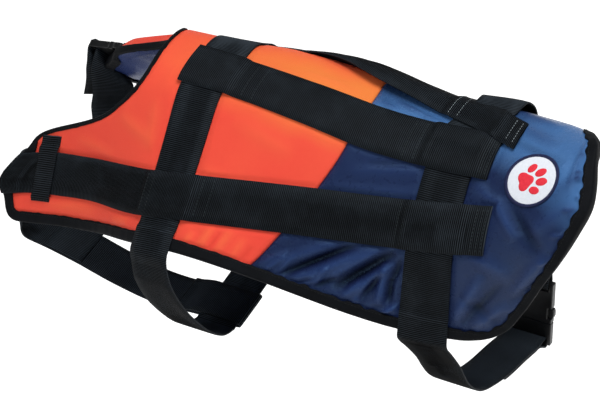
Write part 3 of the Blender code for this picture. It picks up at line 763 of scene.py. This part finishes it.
def wrappedEnd(side, start):  # the strap's end turned round the wing's edge onto the lining
    across = follow(sideStrap, start) + jacket["wideWeb"] * np.linspace(0, 1, 7)
    edge = follow(frontEdge, across / hem(start))
    middle = -(jacket["wall"] + jacket["seam"] + jacket["lining"]) / 2 - 0.6
    reach = jacket["clear"] + binding["over"] - middle
    rows = []
    more = jacket["web"] / 2
    for step, turn in ((24, -90), (12, -90), (1, -90), (0, -55), (0, -20), (0, 20), (0, 55)):
        turn = math.radians(turn)
        away = step - (2.7 + more) * math.cos(turn)
        rows.append(place(edge + away, side * across, middle + (reach + more) * math.sin(turn)))
    return np.stack(rows)


chestBuckle = {"along": -369, "across": 178, "lift": 8.4, "forward": 34}


def chestBuckleFrame():  # front bar: across, back along it, outward
    steps = np.array([(-5, 0, 0), (5, 0, 0), (0, -5, 0), (0, 5, 0), (0, 0, chestBuckle["lift"])])
    spot = place(chestBuckle["along"] + steps[:, 0], chestBuckle["across"] + steps[:, 1], steps[:, 2])
    along, wide = unit(spot[1] - spot[0]), unit(spot[3] - spot[2])
    wide = unit(wide - along * np.dot(wide, along))
    return spot[4] - along * chestBuckle["forward"], wide, along, np.cross(along, wide)


sideEnds = {"leftTip": -403, "rightBuckle": -313, "neck": -206, "tail": 204}  # along


def sideStraps():
    neck = sideEnds["neck"]
    crossing = np.linspace(neck + 3, sideEnds["tail"], 136)
    laid = sideRun(-1, np.concatenate([np.linspace(sideEnds["leftTip"], neck, 66), crossing]))
    rows = np.concatenate([wrappedEnd(-1, -400), laid])
    declareStrap(ribbon("sideStrapLeft", rows), "side_strap_left")
    bar, wide, along, out = chestBuckleFrame()
    laid = sideRun(1, np.concatenate([np.linspace(sideEnds["rightBuckle"], neck, 38), crossing]))
    bar = bar + along * (buckle["length"] - buckle["bar"])
    start = laid[[12, 8, 4, 0]]
    path, sides = turnedEnd([*start.mean(1), bar - out * buckle["loop"] + along * 6],
                            [*(start[:, -1] - start[:, 0]), wide], bar, -out, 30)
    rows = np.concatenate([webbingRows(path[4:], sides[4:])[::-1], laid])
    declareStrap(ribbon("sideStrapRight", rows), "side_strap_right")


sideStraps()


keeper = {"left": -334, "right": -267, "from": 132, "to": 210, "lean": 11}  # along, then across


def keepers():
    part = np.linspace(0, 1, 40)[:, None]
    width = np.linspace(-0.5, 0.5, 7) * jacket["keeperWeb"]
    for side, name in ((-1, "left"), (1, "right")):
        across = keeper["from"] + part * (keeper["to"] - keeper["from"]) + 0 * width
        along = keeper[name] - keeper["lean"] * part + width
        upper = follow(sideStrap, along)
        over = within(across, upper - 10, 7, upper + jacket["wideWeb"] + 10, 7)
        edge = follow(frontEdge, across / hem(along))
        lift = jacket["clear"] + (jacket["web"] + jacket["clear"]) * over + overBinding(along, edge)
        rows = place(along, side * across, lift + webbing["keeperThick"] / 2)
        made = ribbon("keeper" + name.title(), rows, "keeper", webbing["keeperPitch"], webbing["keeperThick"])
        declareStrap(made, "keeper_" + name)


keepers()
print("laid straps made")

# Across and height of the buckle's bar, its upward turn, and of each side from the hem down.
# The tail is the end folded back; arch and veer lift and shift the strap over the far shoulder.
girthLoops = {
    "Front": {"along": jacket["frontGirth"], "bar": (117, -268), "up": (0.46, 0.89), "tail": 70,
              "arch": 0, "veer": 0,
              "near": [(-188, -122), (-189, -142), (-184, -168), (-176, -194), (-161, -228), (-144, -259),
                       (-125, -281), (-108, -289.7), (-104, -290), (-75, -290), (-46, -290), (-42, -290),
                       (8, -288), (58, -282), (96, -272)],
              "far": [(171, -122), (174, -140), (169, -160), (161, -178)]},
    "Rear": {"along": jacket["rearGirth"], "bar": (84, -386), "up": (0.24, 0.97), "tail": 118,
             "arch": 8.5, "veer": 15,
             "near": [(-142, -170), (-131, -192), (-117, -223), (-104, -260), (-81, -295), (-50, -319),
                      (-11, -341), (27, -357), (62, -373)],
             "far": [(131, -181), (128, -212), (120, -252), (110, -286)]}}


def girthBuckleFrame(loop):
    up = unit(np.array((0, *loop["up"])))
    return np.array((loop["along"], *loop["bar"])), np.array((1.0, 0, 0)), up, np.array((0, up[2], -up[1]))


def girthStrap(end, loop):
    spread = np.linspace(-0.5, 0.5, 7) * jacket["wideWeb"]
    shares = np.linspace(-1, 1, 130)[:, None]
    over = shares * hem(loop["along"])
    along = loop["along"] + spread + loop["veer"] * within(over, -14, 60, 200, 130)
    lift = jacket["clear"] + binding["over"] * ease((np.abs(shares) - 0.895) / 0.03) + 0 * along
    across = shares * hem(along)
    lift = lift + loop["arch"] * within(across, 26, 26, 110, 46)
    past = hem(along[:1]) + 6
    along, lift = (np.concatenate([data[:1], data, data[-1:]]) for data in (along, lift))
    across = np.concatenate([-past, across, past])
    laid = place(along, across, lift + jacket["web"] / 2)
    bar, wide, up, out = girthBuckleFrame(loop)
    hanging = {}
    for part, hemRow, steps, to, away, back in (
            ("near", laid[0], 7, bar, np.array((0, 0, 1.0)), loop["tail"]),
            ("far", laid[-1], 5, bar + up * (buckle["length"] - buckle["bar"]), out, 36)):
        path = smoothPath([(loop["along"], *row) for row in loop[part]], 2)
        start = unit(hemRow[-1] - hemRow[0])
        sides = [start + (wide - start) * min(1.0, (i + 1) / steps) for i in range(len(path))]
        hanging[part] = webbingRows(*turnedEnd(path, sides, to, away, back))
    rows = np.concatenate([hanging["near"][::-1], laid, hanging["far"]])
    declareStrap(ribbon("girthStrap" + end, rows), "girth_strap_" + end.lower())


for end, loop in girthLoops.items():
    girthStrap(end, loop)

askew = 13.0  # how far the chest strap's free end hangs forward
# centre of the webbing as along, side, height; then the direction across it
breastTable = [
    (-372, -89, -138, 0, 0.56, 0.83), (-385, -88.6, -143, -0.1, 0.66, 0.7),
    (-396, -89, -151, -0.3, 0.72, 0.48), (-403, -89, -165, -0.46, 0.8, 0.24),
    (-407, -92, -184, -0.6, 0.78, 0.05), (-411, -96, -204, -0.7, 0.68, 0),
    (-414, -93, -221, -0.6, 0.8, 0), (-410, -85, -238, -0.3, 0.95, 0), (-399, -78, -250, -0.05, 1, 0),
    (-380, -75, -258, 0, 1, 0), (-337, -75, -270, 0, 1, 0), (-300, -75, -283, 0, 1, 0),
    (-250, -75, -295, 0, 1, 0), (-212, -75, -296.5, 0, 1, 0), (-190, -75, -293.5, 0, 1, 0),
    (-178, -75, -292.55, 0, 1, 0)]
chestTable = [
    (-360, -98, -260.8, 0.97, 0, -0.26), (-360, -75, -260.8, 0.97, 0, -0.26),
    (-360, -50, -260.8, 0.97, 0, -0.26),
    (-364, -20, -258, 0.98, 0, -0.18), (-372, 20, -255, 1, 0, -0.1), (-390, 58, -240, 1, 0, 0),
    (-400, 84, -222, 0.97, 0.2, 0), (-401, 94, -200, 0.9, 0.42, -0.12), (-394, 95, -180, 0.87, 0.48, -0.14),
    (-391, 96, -162, 0.8, 0.5, -0.3), (-393, 98, -147, 0.5, 0.55, -0.65)]


def chestStraps():
    table = smoothPath(breastTable, 2)
    bar = np.array((jacket["frontGirth"] + jacket["wideWeb"] / 2 + 1.5, -75, -290.0))
    rows = webbingRows(*turnedEnd(table[:, :3], table[:, 3:], bar, np.array((0, 0, -1.0)), 86, 2.55, 56))
    declareStrap(ribbon("breastStrap", rows), "breast_strap")
    table = smoothPath(chestTable, 2)
    bar, wide, along, out = chestBuckleFrame()
    path = np.concatenate([table[:, :3], [bar - out * 13 + along * buckle["loop"]]])
    sides = np.concatenate([table[:, 3:], [wide]])
    rows = webbingRows(*turnedEnd(path, sides, bar, along, 70, gap=4.0))
    rows[-8:, :, 0] -= askew * ease(np.arange(1, 9) / 8)[:, None]
    declareStrap(ribbon("chestStrap", rows), "chest_strap")


chestStraps()
print("free straps made")


def plate(shell, wide, long, holes, half, frameOf):
    # a flat frame: cells between the breaks, less its holes, given a thickness and rounded edges
    origin, side, up, out = (Vector(v) for v in frameOf)
    grid = bmesh.ops.create_grid(shell, x_segments=len(wide) - 1, y_segments=len(long) - 1, size=1.0)["verts"]
    for vertex in grid:
        i = round((vertex.co.x + 1) / 2 * (len(wide) - 1))
        j = round((vertex.co.y + 1) / 2 * (len(long) - 1))
        vertex.co = origin + side * wide[i] + up * long[j] - out * half
        vertex.index = i + j * len(wide)
    faces = {face for vertex in grid for face in vertex.link_faces}

    def cell(face):
        return min(v.index % len(wide) for v in face.verts), min(v.index // len(wide) for v in face.verts)

    bmesh.ops.delete(shell, geom=[face for face in faces if cell(face) in holes], context="FACES")
    faces = [face for face in faces if face.is_valid]
    raised = bmesh.ops.extrude_face_region(shell, geom=faces)["geom"]
    raised = [v for v in raised if isinstance(v, bmesh.types.BMVert)]
    bmesh.ops.translate(shell, verts=raised, vec=out * 2 * half)


buckleCut = {"edge": 1.1, "side": 5.0, "throat": 5.8, "shoulder": 20.0, "opening": 6.6, "pad": 14.0,
             "swell": 1.6, "plugHalf": 4.2, "socketHalf": 4.6, "padHalf": 3.6}  # halves of the thickness


def buckleMesh(name, build):
    shell = bmesh.new()
    build(shell)
    bmesh.ops.remove_doubles(shell, verts=shell.verts[:], dist=0.01)
    bmesh.ops.recalc_face_normals(shell, faces=shell.faces[:])
    sharp = [e for e in shell.edges if len(e.link_faces) == 2 and e.calc_face_angle() > 0.6]
    bmesh.ops.bevel(shell, geom=sharp, offset=buckleCut["edge"], segments=3, profile=0.5, affect="EDGES",
                    material=-1)
    bmesh.ops.scale(shell, verts=shell.verts[:], vec=(mm, mm, mm))
    made = piece(name, meshFrom(shell, name), "buckle")
    made.data.shade_flat()
    return made


def buckleParts(name, node, frameOf):
    origin, side, up, out = (np.asarray(v, float) for v in frameOf)
    half, cut, bar = buckle["width"] / 2, buckleCut, buckle["bar"]
    low, top = -bar / 2, buckle["length"] - bar / 2
    slot = bar + cut["throat"]
    wide = [-half, -half + cut["side"], -9, 9, half - cut["side"], half]
    body = low + slot + cut["shoulder"]

    def plug(shell):
        # ladder with a second bar, then the shoulder and the two squeeze pads in the socket's sides
        long = [low, low + bar, low + slot, low + slot + 5, body]
        plate(shell, wide, long, {(1, 1), (2, 1), (3, 1)}, cut["plugHalf"], frameOf)
        for sign in (-1, 1):
            pad = [sign * (half - 4.4), sign * (half - 2.2), sign * (half + cut["swell"] - 0.6)]
            at = body + cut["opening"]
            rows = [at + 0.8, at + 4.5, at + 9.5, at + 13.2]
            plate(shell, sorted(pad), rows, set(), cut["padHalf"], frameOf)
            for v in shell.verts:  # the pads bulge outward at mid length
                where = np.array(v.co) - origin
                x, y = where @ side * sign, where @ up
                if at < y < at + cut["pad"] and x > half - 1:
                    swell = side * sign * cut["swell"] * math.sin(math.pi * (y - at) / cut["pad"])
                    v.co = v.co + Vector(swell)

    def socket(shell):
        at, opening = body + 0.4, body + cut["opening"]
        long = [at, opening, opening + cut["pad"] / 2, opening + cut["pad"], top - slot, top - bar, top]
        holes = {(0, 1), (4, 1), (0, 2), (4, 2), (1, 4), (2, 4), (3, 4)}
        plate(shell, wide, long, holes, cut["socketHalf"], frameOf)
        raised = [-13, 13], [at + 9, at + 27]
        plate(shell, *raised, set(), 0.9, (origin + out * 4.9, side, up, out))

    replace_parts(buckleMesh(name + "Plug", plug), node + "_plug")
    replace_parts(buckleMesh(name + "Socket", socket), node + "_socket")


for end, loop in girthLoops.items():
    buckleParts("girthBuckle" + end, "girth_buckle_" + end.lower(), girthBuckleFrame(loop))
buckleParts("chestBuckle", "chest_buckle", chestBuckleFrame())
print("buckles made")

badge = {"along": 236.0, "across": -48.0, "radius": 27.5, "ring": 1.6, "lift": 0.9, "thick": 1.2, "paw": 0.9}
badgeTurn = math.cos(math.radians(22)), math.sin(math.radians(22))
toes = [  # middle, half width, half height, tilt
    (-11.5, 1.5, 4, 5.6, 0.5), (-4.8, 9.6, 4.2, 6.2, 0.15), (4.8, 9.6, 4.2, 6.2, -0.15),
    (11.5, 1.5, 4, 5.6, -0.5)]


def roundPiece(name, look, radius, lift, centre=(0.0, 0.0), rings=12, turns=72):
    # radius and lift are functions of the turn and of the share of the way out
    turn = np.linspace(0, 2 * np.pi, turns + 1)[:, None]
    share = np.linspace(0, 1, rings)[None]
    reach = radius(turn) * share
    u, v = centre[0] + reach * np.cos(turn), centre[1] + reach * np.sin(turn)
    points = place(badge["along"] + v * badgeTurn[0] + u * badgeTurn[1],
                   badge["across"] + v * badgeTurn[1] - u * badgeTurn[0], lift(turn, share) + 0 * u)
    made = clothGrid(name, points, u, v, look, merge=True)
    return made


ground = roundPiece("patchGround", "patch", lambda t: badge["radius"] - badge["ring"] + 0 * t,
                    lambda t, r: badge["lift"] + badge["thick"] - 0.25 * r ** 6, rings=20, turns=96)
thicken(ground, badge["thick"], -1.0)
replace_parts(ground, "patch")


def merrowed(turns=432, sides=12):  # the overlocked edge, a cord of thread wound round the rim
    turn = np.linspace(0, 2 * np.pi, turns + 1)[:, None]
    section = np.linspace(0, 2 * np.pi, sides + 1)[None]
    thick = badge["ring"] * (1 + 0.1 * np.sin(turn * 110 + section))
    reach = badge["radius"] - badge["ring"] + thick * np.cos(section)
    high = badge["lift"] + 1.1 + thick * 0.55 * np.sin(section)
    points = place(badge["along"] + reach * np.cos(turn), badge["across"] + reach * np.sin(turn), high)
    made = clothGrid("patchRing", points[:, ::-1], reach * turn, section, "border", merge=True)


def proud(turn, share):  # how high the paw stands, rounded off at its rim
    return badge["lift"] + badge["thick"] - 0.2 + badge["paw"] * (1 - share ** 8)


merrowed()
roundPiece("patchPad", "motif", lambda t: 8.6 + 1.5 * np.cos(3 * (t - math.pi / 2)) + 0.8 * np.cos(2 * t),
           proud, (0.0, -6.5))
for number, (u, v, wide, tall, tilt) in enumerate(toes):
    roundPiece("patchToe%d" % (number + 1), "motif",
               lambda t: wide * tall / np.hypot(tall * np.cos(t - tilt), wide * np.sin(t - tilt)),
               proud, (u, v), 8, 40)
print("patch made")


stitch = {"length": 2.5, "step": 3.7, "radius": 0.34, "reach": 0.88}


def threads(name, look, lines):
    # lines of points with their normals; a stitch lies at each step
    shell = bmesh.new()
    for points, normals in lines:
        gone = walked(points)
        at = np.arange(stitch["step"] * 0.6, gone[-1] - stitch["length"] / 2, stitch["step"])
        spot, before, after, facing = (
            np.stack([np.interp(at + move, gone, data[:, k]) for k in range(3)], -1)
            for move, data in ((0, points), (-1, points), (1, points), (0, normals)))
        for centre, ahead, up in zip(spot, unit(after - before), facing):
            side = unit(np.cross(up, ahead))
            up = np.cross(ahead, side)
            turn = Matrix([[ahead[k] * stitch["length"] / 2, side[k] * stitch["radius"],
                            up[k] * stitch["radius"], centre[k]] for k in range(3)] + [[0, 0, 0, 1]])
            turn = Matrix.Scale(mm, 4) @ turn @ Matrix.Rotation(math.pi / 2, 4, "Y")
            bmesh.ops.create_uvsphere(shell, u_segments=6, v_segments=4, radius=1.0, matrix=turn)
    piece(name, meshFrom(shell, name), look)


def sewnRow(name, distance, thick):  # across a strap's outer face, at a distance from its tail end
    rows, normals, at = straps[name]
    share = (np.linspace(-stitch["reach"], stitch["reach"], 40) + 1) / 2 * (rows.shape[1] - 1)
    row = np.interp(at[-1] - distance, at, np.arange(len(at)))
    i, j = min(int(row), len(at) - 2), np.clip(share.astype(int), 0, rows.shape[1] - 2)
    a, b = row - i, (share - j)[:, None]

    def spot(data):
        return (data[i, j] * (1 - a) * (1 - b) + data[i + 1, j] * a * (1 - b)
                + data[i, j + 1] * (1 - a) * b + data[i + 1, j + 1] * a * b)

    normal = unit(spot(normals))
    normal = normal * np.sign((normal * (spot(rows) - (0, 0, -120))).sum(1).mean())
    return spot(rows) + normal * (thick / 2 + 0.22), normal


sewn = {  # distances of the sewn rows from each strap's tail end
    "handleLeft": [4, 10, 84, 96, 279, 292],
    **dict.fromkeys(("sideStrapLeft", "sideStrapRight"), [3, 8, 14, 90, 97, 306, 318, 380, 389]),
    **dict.fromkeys(("keeperLeft", "keeperRight"), [3, 71]),
    "handleRight": [5, 14, 82, 93, 316, 327]}
for name, distances in sewn.items():
    thick = webbing["keeperThick"] if "keeper" in name else jacket["web"]
    lines = [sewnRow(name, distance, thick) for distance in distances]
    threads(name + "Thread", "paleThread" if name == "handleRight" else "thread", lines)


def bindingThread():
    smooth, outward, leg, top = bindingRun
    spot = smooth - outward * (leg - 2.2)[:, None]
    spot = np.concatenate([spot, spot[:1]])
    points = place(spot[:, 0], spot[:, 1], top + binding["tape"] / 2 + 0.12)
    normals = unit(place(spot[:, 0], spot[:, 1], 1.0) - place(spot[:, 0], spot[:, 1], 0.0))
    threads("bindingThread", "tapeThread", [(points, normals)])


bindingThread()
print("stitches made")


studio = {"floor": -0.95, "key": 72.0, "fill": 27.0, "world": 0.22, "glow": 0.6}
shell = bmesh.new()
bmesh.ops.create_grid(shell, x_segments=1, y_segments=1, size=30.0)
bmesh.ops.translate(shell, verts=shell.verts[:], vec=(0, 0, studio["floor"]))
floor = bpy.data.objects.new("floor", meshFrom(shell, "floor"))
scene.collection.objects.link(floor)
paleFloor = shader("paleFloor", (0.9, 0.9, 0.9), 0.9, Emission_Color=(1, 1, 1, 1),
                   Emission_Strength=studio["glow"])[0]
floor.data.materials.append(paleFloor)


def lamp(name, spot, target, size, power):
    light = bpy.data.lights.new(name, "AREA")
    light.size, light.energy = size, power
    made = bpy.data.objects.new(name, light)
    made.location = spot
    made.rotation_euler = (Vector(target) - Vector(spot)).to_track_quat("-Z", "Y").to_euler()
    scene.collection.objects.link(made)


lamp("keyLight", (0.9, 0.3, 2.5), (0.05, 0, -0.05), 1.5, studio["key"])
lamp("fillLight", (-0.5, -1.9, 2.0), (-0.05, 0, -0.1), 0.8, studio["fill"])

world = bpy.data.worlds.new("studioAir")
scene.world = world
world.use_nodes = True
air = world.node_tree.nodes["Background"].inputs
air["Color"].default_value = (1, 1, 1, 1)
air["Strength"].default_value = studio["world"]
scene.view_settings.view_transform = "Standard"

view = {"azimuth": 36.5085, "elevation": 42.7105, "roll": -10.9314, "spot": (0.85595, -1.2618, 1.27037),
        "lens": 114.7612, "sensor": 36.0}
cameraData = bpy.data.cameras.new("camera")
cameraData.lens = view["lens"]
cameraData.sensor_width = view["sensor"]
camera = bpy.data.objects.new("camera", cameraData)
turn = Matrix.Rotation(math.radians(view["azimuth"]), 4, "Z")
turn = turn @ Matrix.Rotation(math.radians(90 - view["elevation"]), 4, "X")
turn = turn @ Matrix.Rotation(math.radians(view["roll"]), 4, "Z")
camera.matrix_world = Matrix.Translation(view["spot"]) @ turn
scene.collection.objects.link(camera)
scene.camera = camera
print("stage made")
